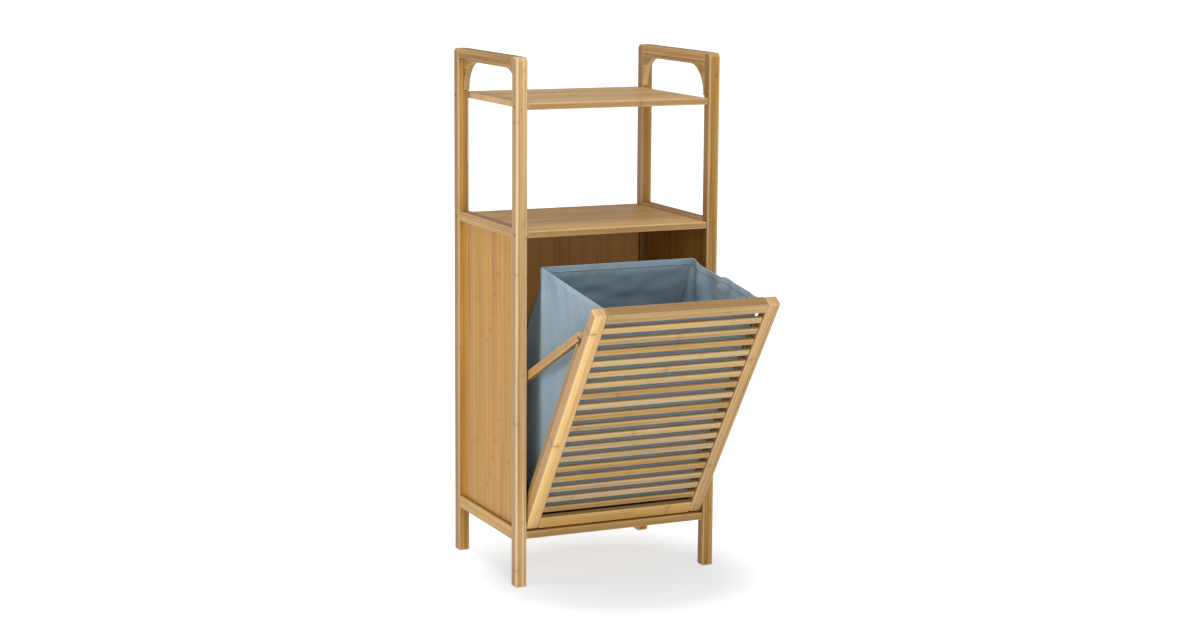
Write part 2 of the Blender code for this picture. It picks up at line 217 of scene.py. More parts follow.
class Shader:
    """A material and short ways to add nodes to it."""

    def __init__(self, name):
        self.material = bpy.data.materials.new(name)
        self.material.use_nodes = True
        self.tree = self.material.node_tree
        self.surface = self.tree.nodes["Principled BSDF"]

    def feed(self, socket, value):
        if isinstance(value, bpy.types.NodeSocket):
            self.tree.links.new(value, socket)
        else:
            socket.default_value = value

    def node(self, kind, inputs=None, **settings):
        node = self.tree.nodes.new(kind)
        for key, value in settings.items():
            setattr(node, key, value)
        for key, value in (inputs or {}).items():
            self.feed(node.inputs[key], value)
        return node

    def math(self, operation, one, two=0.0, three=0.0, clamp=False):
        node = self.node("ShaderNodeMath", {0: one, 1: two, 2: three}, operation=operation, use_clamp=clamp)
        return node.outputs[0]

    def times(self, value, factor):
        return self.math("MULTIPLY", value, factor)

    def sway(self, value, amount, base, middle=0.5, clamp=False):
        """Adds to a base how far a value is off its middle."""
        return self.math("MULTIPLY_ADD", self.math("SUBTRACT", value, middle), amount, base, clamp)

    def spread(self, value, low, high, to_low=0.0, to_high=1.0, smooth=False):
        kind = "SMOOTHSTEP" if smooth else "LINEAR"
        node = self.node("ShaderNodeMapRange", {0: value, 1: low, 2: high, 3: to_low, 4: to_high},
                         interpolation_type=kind)
        return node.outputs[0]

    def mix(self, amount, one, two, blend="MIX"):
        node = self.node("ShaderNodeMix", data_type="RGBA", blend_type=blend)
        self.feed(node.inputs[0], amount)
        for socket, value in ((node.inputs[6], one), (node.inputs[7], two)):
            self.feed(socket, (*value, 1.0) if isinstance(value, tuple) else value)
        return node.outputs[2]

    def vector(self, x, y, z):
        return self.node("ShaderNodeCombineXYZ", {0: x, 1: y, 2: z}).outputs[0]

    def noise(self, vector, detail=2.0, roughness=0.5):
        node = self.node("ShaderNodeTexNoise", {"Vector": vector, "Scale": 1.0, "Detail": detail,
                                                "Roughness": roughness})
        return node.outputs["Fac"]

    def attribute(self, name):
        """The X, Y and Z of a vector attribute of the mesh."""
        source = self.node("ShaderNodeAttribute", attribute_name=name)
        split = self.node("ShaderNodeSeparateXYZ", {0: source.outputs["Vector"]})
        return split.outputs[0], split.outputs[1], split.outputs[2]

    def bump(self, height, depth):
        node = self.node("ShaderNodeBump", {"Height": height, "Distance": depth, "Strength": 1.0})
        self.feed(self.surface.inputs["Normal"], node.outputs[0])


def bamboo_material():
    """Laminated bamboo. Each strip has its own tone and its own nodes, under a satin lacquer."""
    s = Shader("laminated_bamboo")
    along, across, deep = s.attribute("grain")
    tone, warmth, seed = s.attribute("look")
    strip, contrast, knots = s.attribute("strip")
    shade = s.node("ShaderNodeAttribute", attribute_name="shade").outputs["Vector"]
    rounded, end, tint = s.attribute("cut")

    lane = s.math("DIVIDE", across, strip)
    number = s.math("FLOOR", lane)
    within = s.math("FRACT", lane)
    draw = s.vector(number, s.times(seed, 31.0), 0.0)
    dice = s.node("ShaderNodeTexWhiteNoise", {"Vector": draw}, noise_dimensions="3D")
    rolls = s.node("ShaderNodeSeparateXYZ", {0: dice.outputs["Color"]}).outputs

    shift = s.math("MULTIPLY_ADD", seed, 13.0, s.times(number, 3.7))
    fibre = s.noise(s.vector(s.math("MULTIPLY_ADD", along, 9.0, shift), s.times(across, 1100.0),
                             s.times(deep, 1100.0)), 3.0, 0.6)
    streak = s.noise(s.vector(s.math("MULTIPLY_ADD", along, 2.2, shift), s.times(across, 190.0),
                              s.times(deep, 190.0)), 2.0)
    cloud = s.noise(s.vector(s.math("MULTIPLY_ADD", along, 6.0, shift), s.times(across, 14.0),
                             s.times(deep, 14.0)), 1.0)

    # The nodes of the cane that cross each strip
    turn = s.math("MULTIPLY_ADD", along, 1 / CANE_NODE_SPACING, s.math("ADD", rolls[0], s.times(seed, 3.3)))
    off = s.times(s.math("SUBTRACT", s.math("FRACT", turn), 0.5), CANE_NODE_SPACING)
    ragged = s.noise(s.vector(s.times(along, 300.0), s.times(across, 420.0), shift), 2.0)
    off = s.sway(ragged, 0.0045, off)
    gap = s.math("ABSOLUTE", off)
    band = s.spread(gap, 0.0030, 0.0004, smooth=True)
    halo = s.spread(gap, 0.0120, 0.0020, smooth=True)
    strength = s.times(s.spread(rolls[1], 0.25, 1.0, 0.15, 1.0), knots)
    knot = s.times(s.math("MULTIPLY_ADD", band, 0.75, s.times(halo, 0.30)), strength)

    from_middle = s.math("ABSOLUTE", s.math("SUBTRACT", within, 0.5))
    from_joint = s.times(s.math("SUBTRACT", 0.5, from_middle), strip)
    line = s.spread(from_joint, JOINT_WIDTH, 0.0, smooth=True)

    level = s.sway(rolls[2], contrast, tone)
    level = s.sway(fibre, 0.80, level)
    level = s.sway(streak, 1.05, level)
    level = s.sway(cloud, 0.40, level)
    # The cut tint is painted shade: it darkens the right-hand band of a door stile and the outside of the
    # back panel.
    level = s.math("ADD", level, tint, clamp=True)
    pale = s.mix(level, *PALE_WOOD)
    warm = s.mix(level, *WARM_WOOD)
    color = s.mix(warmth, pale, warm)
    color = s.mix(s.times(knot, 0.80), color, KNOT_COLOR)
    color = s.mix(s.times(line, 0.65), color, JOINT_COLOR)
    # Rounded edges turn lighter, partly wear and partly painted highlight.
    color = s.mix(s.times(rounded, 0.22), color, WEAR_AND_HIGHLIGHT_COLOR)
    end_grain = s.vector(s.times(across, 900.0), s.times(deep, 900.0), shift)
    pores = s.node("ShaderNodeTexVoronoi", {"Vector": end_grain, "Scale": 1.0}).outputs["Distance"]
    sawn = s.mix(s.spread(pores, 0.15, 0.55), *SAWN_WOOD)
    color = s.mix(s.times(end, 0.7), color, sawn)
    # The shade attribute multiplies the colour: the piece's own tone, and painted light and shade for how
    # much light it gets.
    color = s.mix(1.0, color, shade, "MULTIPLY")
    s.feed(s.surface.inputs["Base Color"], color)

    gloss = s.math("MULTIPLY_ADD", fibre, 0.14, 0.40)
    gloss = s.math("MULTIPLY_ADD", end, 0.15, gloss)
    s.feed(s.surface.inputs["Roughness"], gloss)
    s.surface.inputs["Specular IOR Level"].default_value = 0.34
    s.surface.inputs["Coat Weight"].default_value = 0.05
    s.surface.inputs["Coat Roughness"].default_value = 0.30

    height = s.times(fibre, 0.30)
    height = s.math("MULTIPLY_ADD", streak, 0.35, height)
    height = s.math("MULTIPLY_ADD", line, -0.60, height)
    height = s.math("MULTIPLY_ADD", band, 0.35, height)
    s.bump(height, 0.00022)
    return s.material


def cloth_material(name, dark, light, yarn=0.0008):
    """A plain weave with uneven yarns."""
    s = Shader(name)
    u, v, _ = s.attribute("weave")
    along = s.math("DIVIDE", u, yarn)
    across = s.math("DIVIDE", v, yarn)
    crossing = s.math("MODULO", s.math("ADD", s.math("FLOOR", along), s.math("FLOOR", across)), 2.0)
    crossing = s.math("ABSOLUTE", crossing)
    warp = s.math("ABSOLUTE", s.math("SINE", s.times(along, math.pi)))
    weft = s.math("ABSOLUTE", s.math("SINE", s.times(across, math.pi)))
    thread = s.math("MULTIPLY_ADD", crossing, s.math("SUBTRACT", warp, weft), weft)
    slub_u = s.noise(s.vector(s.times(s.math("FLOOR", along), 0.73), s.times(v, 60.0), 0.0))
    slub_v = s.noise(s.vector(s.times(u, 60.0), s.times(s.math("FLOOR", across), 0.73), 4.0))
    slub = s.math("MULTIPLY_ADD", crossing, s.math("SUBTRACT", slub_u, slub_v), slub_v)
    cloud = s.noise(s.vector(s.times(u, 14.0), s.times(v, 14.0), 9.0), 3.0)
    level = s.sway(slub, 1.1, 0.5)
    level = s.sway(cloud, 0.5, level)
    level = s.sway(thread, 0.35, level, middle=0.6, clamp=True)
    s.feed(s.surface.inputs["Base Color"], s.mix(level, dark, light))
    s.feed(s.surface.inputs["Roughness"], s.spread(thread, 0.0, 1.0, 0.95, 0.78))
    s.surface.inputs["Sheen Weight"].default_value = 0.25
    s.surface.inputs["Sheen Roughness"].default_value = 0.5
    s.bump(thread, 0.00016)
    return s.material


def steel_material():
    """Zinc-plated steel, slightly cloudy and turned round its axis. Its colour is kept very dark as painted
    shade, so the heads sunk in their counterbores read as dark spots.
    """
    s = Shader("zinc_plated_steel")
    place = s.node("ShaderNodeTexCoord").outputs["Object"]
    cloud = s.node("ShaderNodeTexNoise", {"Vector": place, "Scale": 900.0, "Detail": 3.0}).outputs["Fac"]
    # Very dark base colour: painted shade for the bolt heads sunk in their holes.
    s.feed(s.surface.inputs["Base Color"], s.mix(cloud, (0.060, 0.055, 0.050), (0.150, 0.142, 0.130)))
    s.feed(s.surface.inputs["Roughness"], s.spread(cloud, 0.3, 0.7, 0.24, 0.42))
    s.surface.inputs["Metallic"].default_value = 1.0
    s.bump(cloud, 0.00003)
    return s.material


# Mesh building

def corners(node, matrix):
    """A CAD node's lowest and highest corners, measured in a frame of our own."""
    inverse = matrix.inverted()
    points = np.array([inverse @ v.co for v in frame["nodes"][node].data.vertices])
    return Vector(points.min(0)), Vector(points.max(0))


def prism(outline, axis, low, high):
    """An outline in the two other axes, in their order, made thick along one axis."""
    shape = bmesh.new()
    ring = []
    for a, b in outline:
        place = [a, b]
        place.insert(axis, low)
        ring.append(shape.verts.new(place))
    face = shape.faces.new(ring)
    grown = bmesh.ops.extrude_face_region(shape, geom=[face])["geom"]
    push = [0.0, 0.0, 0.0]
    push[axis] = high - low
    bmesh.ops.translate(shape, vec=push, verts=[v for v in grown if isinstance(v, bmesh.types.BMVert)])
    return shape


def box_shape(low, high):
    return prism([(low.x, low.y), (high.x, low.y), (high.x, high.y), (low.x, high.y)], Z, low.z, high.z)


def arc(center, radius_a, radius_b, start, end, steps):
    angles = [math.radians(start + (end - start) * i / steps) for i in range(steps + 1)]
    return [(center[0] + radius_a * math.cos(a), center[1] + radius_b * math.sin(a)) for a in angles]


def tube(shape, rings):
    """Joins rings of vertices into a closed solid."""
    count = len(rings[0])
    for one, two in zip(rings, rings[1:]):
        for k in range(count):
            n = (k + 1) % count
            shape.faces.new((one[k], one[n], two[n], two[k]))
    shape.faces.new(rings[0])
    shape.faces.new(rings[-1])


def lathe(profile, turns=32, corner=None):
    """A solid turned round X from (distance, radius) pairs. corner(i, angle, radius) may reshape a ring."""
    shape = bmesh.new()
    rings = []
    for i, (along, radius) in enumerate(profile):
        ring = []
        for k in range(turns):
            angle = 2 * math.pi * k / turns
            r = corner(i, angle, radius) if corner else radius
            ring.append(shape.verts.new((along, r * math.cos(angle), r * math.sin(angle))))
        rings.append(ring)
    tube(shape, rings)
    return shape


def soften(shape, edge, segments=4):
    """Rounds the sharp edges and leaves the small facets of a curve alone."""
    bmesh.ops.recalc_face_normals(shape, faces=shape.faces[:])
    sharp = [e for e in shape.edges if e.calc_face_angle(0) > BEVEL_ANGLE]
    bmesh.ops.bevel(shape, geom=sharp, offset=edge, segments=segments, profile=0.5, affect="EDGES",
                    clamp_overlap=True)


def to_object(name, shape):
    bmesh.ops.recalc_face_normals(shape, faces=shape.faces[:])
    mesh = bpy.data.meshes.new(name)
    shape.to_mesh(mesh)
    shape.free()
    item = bpy.data.objects.new(name, mesh)
    bpy.context.scene.collection.objects.link(item)
    return item


def bake_modifiers(item):
    """Puts the modifiers' result into the mesh."""
    graph = bpy.context.evaluated_depsgraph_get()
    mesh = bpy.data.meshes.new_from_object(item.evaluated_get(graph), depsgraph=graph)
    item.modifiers.clear()
    item.data = mesh


def drill(item, holes):
    """Cuts round holes along X. Each is (centre, radius, from, to) in the piece's own frame."""
    cutters = []
    for (y, z), radius, start, end in holes:
        cutter = to_object("drill", lathe([(start, radius), (end, radius)], 32))
        cutter.data.transform(Matrix.Translation((0, y, z)))
        boolean = item.modifiers.new("Hole", "BOOLEAN")
        boolean.operation = "DIFFERENCE"
        boolean.solver = "EXACT"
        boolean.object = cutter
        cutters.append(cutter)
    bake_modifiers(item)
    for cutter in cutters:
        bpy.data.objects.remove(cutter)


def smooth_shade(item):
    """Smooth shading that keeps flat faces flat and corners sharp."""
    item.data.shade_smooth()
    item.data.set_sharp_from_angle(angle=SMOOTH_ANGLE)
    weighted = item.modifiers.new("Flat faces", "WEIGHTED_NORMAL")
    weighted.keep_sharp = True
    bake_modifiers(item)


def store(mesh, name, values, domain="POINT"):
    layer = mesh.attributes.new(name, "FLOAT_VECTOR", domain)
    layer.data.foreach_set("vector", np.asarray(values, np.float32).ravel())


def settle(item, material, slot, body, *nodes):
    """Gives a piece its finish, its body and the CAD nodes that it stands for."""
    item.data.materials.clear()
    item.data.materials.append(material)
    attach(item, body)
    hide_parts(*nodes)


# Wood

def wood(node, shape, matrix, body, along, across, edge, tone=0.5, warmth=0.4, strip=BOARD_STRIP, holes=(),
         shaded_band=None, segments=4, contrast=0.46, knots=1.0, rear_tint=0.0):
    """Finishes a wooden piece that was shaped in its own frame. Strips lie side by side in the across axis.
    shaded_band is (place across, tint): the faces past that place get the tint, a band of painted shade.
    contrast is how far the strips' tones differ, knots is how much the cane's nodes show, and rear_tint is
    added on faces that look back, which keeps a piece's painted light on its inside."""
    if shaded_band:
        normal = [0.0, 0.0, 0.0]
        normal[across] = 1.0
        cut_place = [n * shaded_band[0] for n in normal]
        bmesh.ops.bisect_plane(shape, geom=shape.verts[:] + shape.edges[:] + shape.faces[:],
                               plane_co=cut_place, plane_no=normal)
    soften(shape, edge, segments)
    item = to_object(node + "_wood", shape)
    if holes:
        drill(item, holes)
    mesh = item.data
    places = np.array([v.co for v in mesh.vertices])
    low, high = places.min(0), places.max(0)
    width = high[across] - low[across]
    strip = width / max(1, round(width / strip))
    deep = 3 - along - across
    grain = np.stack([places[:, along], places[:, across] - low[across], places[:, deep]], 1)
    count = len(places)
    store(mesh, "grain", grain)
    store(mesh, "look", np.tile((tone, warmth, chance.random()), (count, 1)))
    store(mesh, "strip", np.tile((strip, contrast, knots), (count, 1)))
    # The shade holds the piece's own tone and its painted light and shade.
    store(mesh, "shade", np.tile(PIECE_TONE_AND_PAINTED_LIGHT.get(node.rstrip("0123456789"), (1, 1, 1)), (count, 1)))
    cut = []
    for face in mesh.polygons:
        most = max(abs(n) for n in face.normal)
        rounded = 1.0 if most < FLAT_FACE else 0.0
        end = max(0.0, abs(face.normal[along]) - 0.5) * 2
        # Faces past the shaded band get its painted shade. Faces that look back get rear_tint, which keeps
        # the back panel's painted light on its inside.
        tinted = shaded_band[1] if shaded_band and face.center[across] > shaded_band[0] else 0.0
        if face.normal.y > 0.5:
            tinted += rear_tint
        cut.append((rounded, end, tinted))
    store(mesh, "cut", cut, "FACE")
    smooth_shade(item)
    item.data.transform(matrix)
    settle(item, BAMBOO, "bamboo", body, node)


def board(node, matrix, body, along, across, edge, *looks, **more):
    """A plain board that fills its CAD node's box, finished as wood() does."""
    wood(node, box_shape(*corners(node, matrix)), matrix, body, along, across, edge, *looks, **more)


def centre(node, matrix):
    low, high = corners(node, matrix)
    return (low + high) / 2, high - low


def bolt_hole(bolt, sign):
    """The counterbore round a bolt's head, reaching out past the face."""
    low, high = corners(bolt, CABINET)
    radius = (high.y - low.y) / 2 + HOLE_GAP
    outer = high.x if sign > 0 else -low.x
    middle = (low + high) / 2
    ends = sorted((sign * (outer - BOLT_RECESS), sign * (outer + PAST_FACE)))
    return (middle.y, middle.z), radius, *ends


def pin_hole(side, matrix):
    low, high = corners("hinge_pin_" + side, matrix)
    middle = (low + high) / 2
    return (middle.y, middle.z), (high.z - low.z) / 2 + HOLE_GAP, low.x - HOLE_GAP, high.x + HOLE_GAP


def make_post(side, sign, place):
    """An upright with a rounded outer top corner."""
    node = f"{place}_post_{side}"
    low, high = corners(node, CABINET)
    outer, inner = (low.y, high.y) if place == "front" else (high.y, low.y)
    toward = 1 if place == "front" else -1
    first, last = (180, 90) if place == "front" else (0, 90)
    outline = [(outer, low.z)]
    turning = (outer + toward * TOP_CORNER, high.z - TOP_CORNER)
    outline += arc(turning, TOP_CORNER, TOP_CORNER, first, last, 12)
    outline += [(inner, high.z), (inner, low.z)]
    holes = [bolt_hole(f"{level}_shelf_bolt_{place}_{side}", sign) for level in ("upper", "middle")]
    if place == "front":
        holes.append(pin_hole(side, CABINET))
    tone, warmth = POST_LOOKS[place, side]
    wood(node, prism(outline, X, low.x, high.x), CABINET, "cabinet", Z, X, POST_EDGE, tone, warmth,
         POST_STRIP, holes, contrast=0.70)


def make_arch(side):
    """The board under a handle rail, with its wide opening."""
    node = "handle_arch_" + side
    low, high = corners(node, CABINET)
    outline = [(high.y, low.z), (high.y, high.z), (low.y, high.z), (low.y, low.z)]
    rise = ARCH_CROWN - low.z
    reach = ARCH_LEG + ARCH_CORNER
    outline += arc((low.y + reach, low.z), ARCH_CORNER, rise, 180, 90, 24)
    outline += arc((high.y - reach, low.z), ARCH_CORNER, rise, 90, 0, 24)
    wood(node, prism(outline, X, low.x, high.x), CABINET, "cabinet", Y, Z, THIN_EDGE, 0.36, 0.8)


def make_cabinet_wood():
    for side, sign in SIDES:
        make_post(side, sign, "front")
        make_post(side, sign, "rear")
        make_arch(side)
        for node, edge, tone, warmth, strip in (
            ("handle_rail_" + side, BOARD_EDGE, 0.30, 0.80, 0.0085),
            ("upper_side_rail_" + side, BOARD_EDGE, 0.48, 0.65, 0.009),
            ("lower_side_rail_" + side, BOARD_EDGE, 0.58, 0.30, 0.012),
        ):
            board(node, CABINET, "cabinet", Y, Z, edge, tone, warmth, strip)
        board("side_panel_" + side, CABINET, "cabinet", Z, Y, THIN_EDGE, 0.47, 1.0, 0.0125, contrast=0.24)
    for node, tone, warmth in (
        ("upper_shelf", 0.62, 0.35),
        ("middle_shelf", 0.60, 0.30),
        ("floor_board", 0.62, 0.35),
    ):
        board(node, CABINET, "cabinet", X, Y, BOARD_EDGE, tone, warmth)
    # The back panel's full tone and its shade brighten it as painted light inside the cabinet, and rear_tint
    # darkens its outside again.
    board("back_panel", CABINET, "cabinet", Z, X, THIN_EDGE, 1.00, 0.9, 0.030, knots=0.4, rear_tint=-0.55)


def make_stile(side):
    node = "door_stile_" + side
    low, _ = corners(node, DOOR)
    # The right-hand part of each stile is painted darker as shade, where the light from the left falls off,
    # more on the right stile.
    shaded_band = (low.x + STILE_SHADED_BAND, -0.50 if side == "right" else -0.18)
    tone = 0.88 if side == "left" else 0.52
    board(node, DOOR, "door", Z, X, POST_EDGE, tone, 0.35, 0.012, [pin_hole(side, DOOR)], shaded_band)


def make_batten(side, sign):
    """The strip behind a stile, notched at the top for the arm."""
    node = "door_batten_" + side
    low, high = corners(node, DOOR)
    arm_low, arm_high = corners("stay_arm_" + side, DOOR)
    step = (arm_low.x if sign > 0 else -arm_high.x) - HOLE_GAP
    near, far = (low.x, high.x) if sign > 0 else (-high.x, -low.x)
    outline = [(near, low.z), (far, low.z), (far, ARM_NOTCH), (step, ARM_NOTCH), (step, high.z),
               (near, high.z)]
    outline = [(sign * x, z) for x, z in outline]
    wood(node, prism(outline, Y, low.y, high.y), DOOR, "door", Z, X, BATTEN_EDGE, 0.36, 0.9, 0.012,
         segments=3)


def make_arm(side, sign):
    """A flat bar with round ends, shaped along its own length, and the peg at its far end."""
    arm, peg, bolt = "stay_arm_" + side, "stay_peg_" + side, "stay_bolt_" + side
    peg_place, peg_size = centre(peg, DOOR)
    bolt_place, bolt_size = centre(bolt, DOOR)
    start = Vector((0, bolt_place.y + BOLT_FORWARD, bolt_place.z))
    reach = Vector((0, peg_place.y, peg_place.z)) - start
    slope = math.atan2(reach.z, reach.y)
    own = DOOR @ Matrix.Translation(start) @ Matrix.Rotation(slope, 4, "X")
    low, high = corners(arm, DOOR)
    outline = arc((0, 0), ARM_RADIUS, ARM_RADIUS, 90, 270, 16)
    outline += arc((reach.length, 0), ARM_RADIUS, ARM_RADIUS, -90, 90, 16)
    outer = high.x if sign > 0 else low.x
    head = own.inverted() @ DOOR @ Vector((outer, bolt_place.y, bolt_place.z))
    ends = sorted((outer - sign * ARM_BOLT_RECESS, outer + sign * PAST_FACE))
    holes = [((reach.length, 0), peg_size.z / 2 + PEG_GAP, low.x - 0.01, high.x + 0.01),
             ((head.y, head.z), bolt_size.z / 2 + HOLE_GAP, *ends)]
    wood(arm, prism(outline, X, low.x, high.x), own, "door", Y, Z, ARM_EDGE, 0.50, 0.6, 0.0075, holes)

    low, high = corners(peg, DOOR)
    radius, length, lip = peg_size.z / 2, high.x - low.x, PEG_LIP
    profile = [(0, radius - lip), (lip * 0.3, radius - lip * 0.3), (lip, radius), (length - lip, radius),
               (length - lip * 0.3, radius - lip * 0.3), (length, radius - lip)]
    item_frame = DOOR @ Matrix.Translation((low.x, peg_place.y, peg_place.z))
    wood(peg, lathe(profile), item_frame, "door", X, Y, 0.0001, 0.5, 0.6, 0.01, segments=1)


def make_door_wood():
    for side, sign in SIDES:
        make_stile(side)
        make_batten(side, sign)
        make_arm(side, sign)
    for node, tone, warmth in (("door_top_rail", 0.40, 0.45), ("door_bottom_rail", 0.60, 0.70)):
        board(node, DOOR, "door", X, Z, BOARD_EDGE, tone, warmth, 0.022)
    for node in sorted(n for n in frame["nodes"] if n.startswith("door_slat_")):
        tone = 0.58 + 0.20 * (chance.random() - 0.5)
        warmth = chance.choice((0.05, 0.40, 0.90))
        board(node, DOOR, "door", X, Z, SLAT_EDGE, tone, warmth, 0.020)


# Steel

def socket_ring(i, angle, radius):
    """Makes the last rings of a bolt's head follow a hexagon."""
    if i < SOCKET_STARTS:
        return radius
    turn = (angle + math.pi / 6) % (math.pi / 3) - math.pi / 6
    return radius * math.cos(math.pi / 6) / math.cos(turn)


def make_bolt(node, sign, matrix, body):
    """A flat-headed bolt with a hexagon socket. Its head faces out along X."""
    low, high = corners(node, matrix)
    place = (low + high) / 2
    radius, length = (high.z - low.z) / 2, high.x - low.x
    thick, shank = radius * 0.9, radius * 0.62
    profile = [(length, shank), (thick, shank), (thick, radius), (radius * 0.14, radius), (0, radius * 0.86),
               (0, radius * 0.56), (radius * 0.7, radius * 0.52)]
    item = to_object(node + "_steel", lathe(profile, 48, socket_ring))
    smooth_shade(item)
    outer = high.x if sign > 0 else low.x
    facing = Matrix.Rotation(math.pi, 4, "Z") if sign > 0 else Matrix.Identity(4)
    item.data.transform(matrix @ Matrix.Translation((outer, place.y, place.z)) @ facing)
    settle(item, STEEL, "zinc_steel", body, node)


def make_pin(side):
    node = "hinge_pin_" + side
    low, high = corners(node, CABINET)
    place, radius, length, lip = (low + high) / 2, (high.z - low.z) / 2, high.x - low.x, PIN_LIP
    profile = [(0, radius - lip), (lip, radius), (length - lip, radius), (length, radius - lip)]
    item = to_object(node + "_steel", lathe(profile, 40))
    smooth_shade(item)
    item.data.transform(Matrix.Translation((low.x, place.y, place.z)))
    settle(item, STEEL, "zinc_steel", NODE_BODY[node], node)


def make_steel():
    for side, sign in SIDES:
        for level in ("upper", "middle"):
            for place in ("front", "rear"):
                make_bolt(f"{level}_shelf_bolt_{place}_{side}", sign, CABINET, "cabinet")
        make_bolt("stay_bolt_" + side, sign, DOOR, "door")
        make_pin(side)


# Bag

def rim_height(depth, low, high, back_rim):
    """The rim falls in a straight line from the front wall to the back wall."""
    share = (depth - low.y) / (high.y - low.y)
    return high.z + (back_rim - high.z) * share


def ease(value, low, high):
    share = min(1.0, max(0.0, (value - low) / (high - low)))
    return share * share * (3 - 2 * share)


def slack(x, depth, low, high):
    """How far the rim is off its straight line, as (up, inward). Only the right rim has crumpled."""
    if x < high.x - TOUCH:
        return 0.0, 0.0
    share = (depth - low.y) / (high.y - low.y)
    sunk = ease(share, 0.50, 0.56) * (1 - ease(share, 0.84, 1.0))
    front = (1 - ease(share, 0.36, 0.50)) * ease(share, 0.0, 0.06)
    near_front = math.exp(-((share - 0.07) / 0.07) ** 2)
    up = -SUNK_DROP * sunk - FRONT_DROP * front - DIP_DROP * near_front
    inward = SUNK_LEAN * sunk + FRONT_LEAN * front + DIP_LEAN * near_front
    return up, inward


def kink_fold(x, depth, z, low, high, back_rim):
    """How far the right wall is pushed inward along the fold that runs down from its kink."""
    if x < high.x - TOUCH:
        return 0.0
    kink = low.y + (high.y - low.y) * KINK_SHARE
    drop = rim_height(depth, low, high, back_rim) - z
    off = abs(depth - (kink + CREASE_SLANT * drop)) / CREASE_WIDTH
    return CREASE_DEPTH * max(0.0, 1 - off) * (1 - ease(drop, 0.05, 0.14)) * ease(drop, 0.0, 0.02)


def set_back(x, depth, drop, low, high):
    """How far the front wall stands off the slats near the rim, and lies on them further down."""
    if depth > low.y + TOUCH:
        return 0.0
    height = high.z - drop
    from_corner = min(x - low.x, high.x - x)
    held = 1.0 if height > RIM_CORNER else ease(from_corner, 0.0, 0.04)
    return FRONT_SET_BACK * held * ease(drop, 0.0, 0.05) * (1 - ease(drop, 0.10, 0.30))


def cells(length):
    """How many cells of cloth a length takes."""
    return round(length / CLOTH_CELL)


def corner_columns(low, high):
    """Which column of the grid runs down each corner."""
    width, depth = cells(high.x - low.x), cells(high.y - low.y)
    return {"front_left": 0, "front_right": width, "rear_right": width + depth,
            "rear_left": 2 * width + depth}


def bag_grid(low, high, back_rim):
    """An open box of cloth as a grid. Returns the points, the faces, the weave places, the number of points
    round the rim and the number of rows down the walls."""
    width, depth, rows = cells(high.x - low.x), cells(high.y - low.y), cells(high.z - low.z)
    loop = [(low.x + (high.x - low.x) * i / width, low.y) for i in range(width)]
    loop += [(high.x, low.y + (high.y - low.y) * i / depth) for i in range(depth)]
    loop += [(high.x - (high.x - low.x) * i / width, high.y) for i in range(width)]
    loop += [(low.x, high.y - (high.y - low.y) * i / depth) for i in range(depth)]
    around = len(loop)
    points, weave, faces = [], [], []
    for row in range(rows + 1):
        run = 0.0
        for i, (x, y) in enumerate(loop):
            top = rim_height(y, low, high, back_rim)
            share = row / rows
            z = top + (low.z - top) * share
            lift, lean = slack(x, y, low, high)
            fade = max(0.0, 1 - (top - z) / 0.09) ** 2
            lean = lean * fade + kink_fold(x, y, z, low, high, back_rim)
            points.append((x - lean, y + set_back(x, y, top - z, low, high), z + lift * fade))
            weave.append((run, z, 0))
            run += math.dist((x, y), loop[(i + 1) % around])
    for row in range(rows):
        for i in range(around):
            j = (i + 1) % around
            faces.append((row * around + i, (row + 1) * around + i, (row + 1) * around + j, row * around + j))
    base = rows * around
    index = {}
    for i, (x, y) in enumerate(loop):
        a = round((x - low.x) / (high.x - low.x) * width)
        b = round((y - low.y) / (high.y - low.y) * depth)
        index[(a, b)] = base + i
    for a in range(1, width):
        for b in range(1, depth):
            index[(a, b)] = len(points)
            x, y = low.x + (high.x - low.x) * a / width, low.y + (high.y - low.y) * b / depth
            points.append((x, y, low.z))
            weave.append((x, y, 0))
    for a in range(width):
        for b in range(depth):
            faces.append((index[(a, b)], index[(a, b + 1)], index[(a + 1, b + 1)], index[(a + 1, b)]))
    return points, faces, weave, around, rows


def first_ripple(point, low, high):
    """Long shallow folds that the walls start with, so that the slack knows where to gather."""
    top = rim_height(point.y, low, high, BACK_RIM)
    fade = ease(top - point.z, 0.0, 0.05) * ease(point.z, low.z, low.z + 0.04)
    fold = noise.noise(Vector((point.x * 30, point.y * 30, point.z * 5 + 3))) * FOLD_DEPTH * fade
    on_side = point.x < low.x + TOUCH or point.x > high.x - TOUCH
    return (fold * 0.6, 0.0, 0.0) if on_side else (0.0, fold, 0.0)


def slant_folds(places, high):
    """Shallow slanting folds that the slack of the back wall gathers into."""
    for point in places:
        if point[1] < high.y - SAG_LIMIT or abs(point[0]) > high.x - SAG_LIMIT:
            continue
        fade = ease(BACK_RIM - point[2], 0.004, 0.04) * ease(point[2], 0.02, 0.08)
        slant = Vector((point[0] * 20 + point[2] * 16, 5.0, point[2] * 32 - point[0] * 10))
        point[1] -= (0.35 + noise.noise(slant)) * SLANT_FOLD_DEPTH * fade


